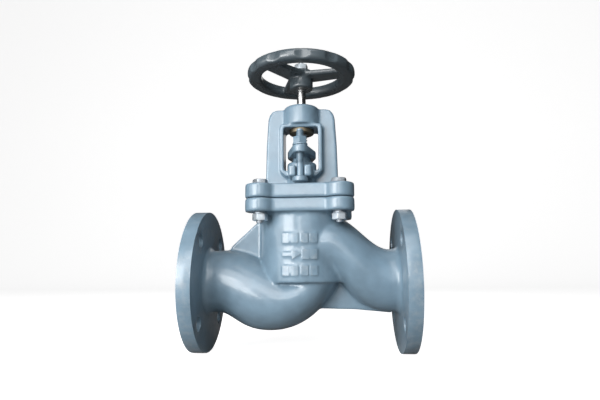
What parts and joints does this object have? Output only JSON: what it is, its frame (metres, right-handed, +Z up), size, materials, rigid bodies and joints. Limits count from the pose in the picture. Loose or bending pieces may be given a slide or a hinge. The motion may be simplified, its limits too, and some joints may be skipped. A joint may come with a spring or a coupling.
{
  "type": "flanged globe valve",
  "caption": "Straight-pattern flanged globe valve with a cast body, bolted bonnet and yoke, packed rising stem, captive disc and a lobed handwheel.",
  "frame": {"origin": "centre of the inlet flange's raised face, on the pipe axis", "axes": "+X along the pipe axis from the inlet to the outlet; +Z up along the stem axis, which stands 145 mm along +X; +Y towards the back"},
  "size_m": [0.29, 0.185, 0.399],
  "materials": {
    "enamel": "blue-grey enamel over cast grey iron, semi-gloss",
    "gland_enamel": "blue-grey enamel over cast iron, semi-gloss",
    "gland_steel": "steel under the same blue-grey enamel as the castings",
    "trim_steel": "turned stainless steel",
    "brass": "turned brass",
    "graphite": "pressed graphite, matt",
    "disc_iron": "machined cast iron",
    "stem_steel": "ground bright steel",
    "wheel_enamel": "charcoal enamel over cast iron, semi-gloss",
    "zinc": "bright zinc plate"
  },
  "bodies": {
    "casing": {"body": "enamel", "seat_ring": "trim_steel", "bonnet": "enamel", "bonnet_gasket": "graphite", "back_seat_bush": "trim_steel", "packing_washer": "trim_steel", "packing_ring_1": "graphite", "packing_ring_2": "graphite", "packing_ring_3": "graphite", "packing_ring_4": "graphite", "packing_ring_5": "graphite", "packing_gland": "gland_enamel", "gland_bolt_front": "gland_steel", "gland_washer_front": "gland_steel", "gland_nut_front": "gland_steel", "gland_bolt_back": "gland_steel", "gland_washer_back": "gland_steel", "gland_nut_back": "gland_steel", "yoke_bush": "brass", "yoke_bush_set_screw": "zinc", "bonnet_bolt_front_left": "zinc", "bonnet_washer_front_left": "zinc", "bonnet_nut_front_left": "zinc", "bonnet_bolt_front_right": "zinc", "bonnet_washer_front_right": "zinc", "bonnet_nut_front_right": "zinc", "bonnet_bolt_back_left": "zinc", "bonnet_washer_back_left": "zinc", "bonnet_nut_back_left": "zinc", "bonnet_bolt_back_right": "zinc", "bonnet_washer_back_right": "zinc", "bonnet_nut_back_right": "zinc"},
    "disc": {"disc": "disc_iron", "disc_seat_face": "trim_steel", "disc_nut": "brass", "disc_thrust_pad": "stem_steel"},
    "stem": {"stem": "stem_steel", "handwheel": "wheel_enamel", "handwheel_washer": "zinc", "handwheel_nut": "zinc"}
  },
  "joints": [
    {"name": "disc_lift", "type": "slide", "parent": "casing", "child": "disc", "axis": [0, 0, 1], "range_m": [0, 0.02]},
    {"name": "handwheel_turn", "type": "hinge", "parent": "disc", "child": "stem", "pos_m": [0.145, 0, 0.286], "axis": [0, 0, 1], "range_deg": [0, 1800]}
  ],
  "couplings": [
    {"joint": "disc_lift", "follows": "handwheel_turn", "m_per_rad": 0.00063662}
  ]
}
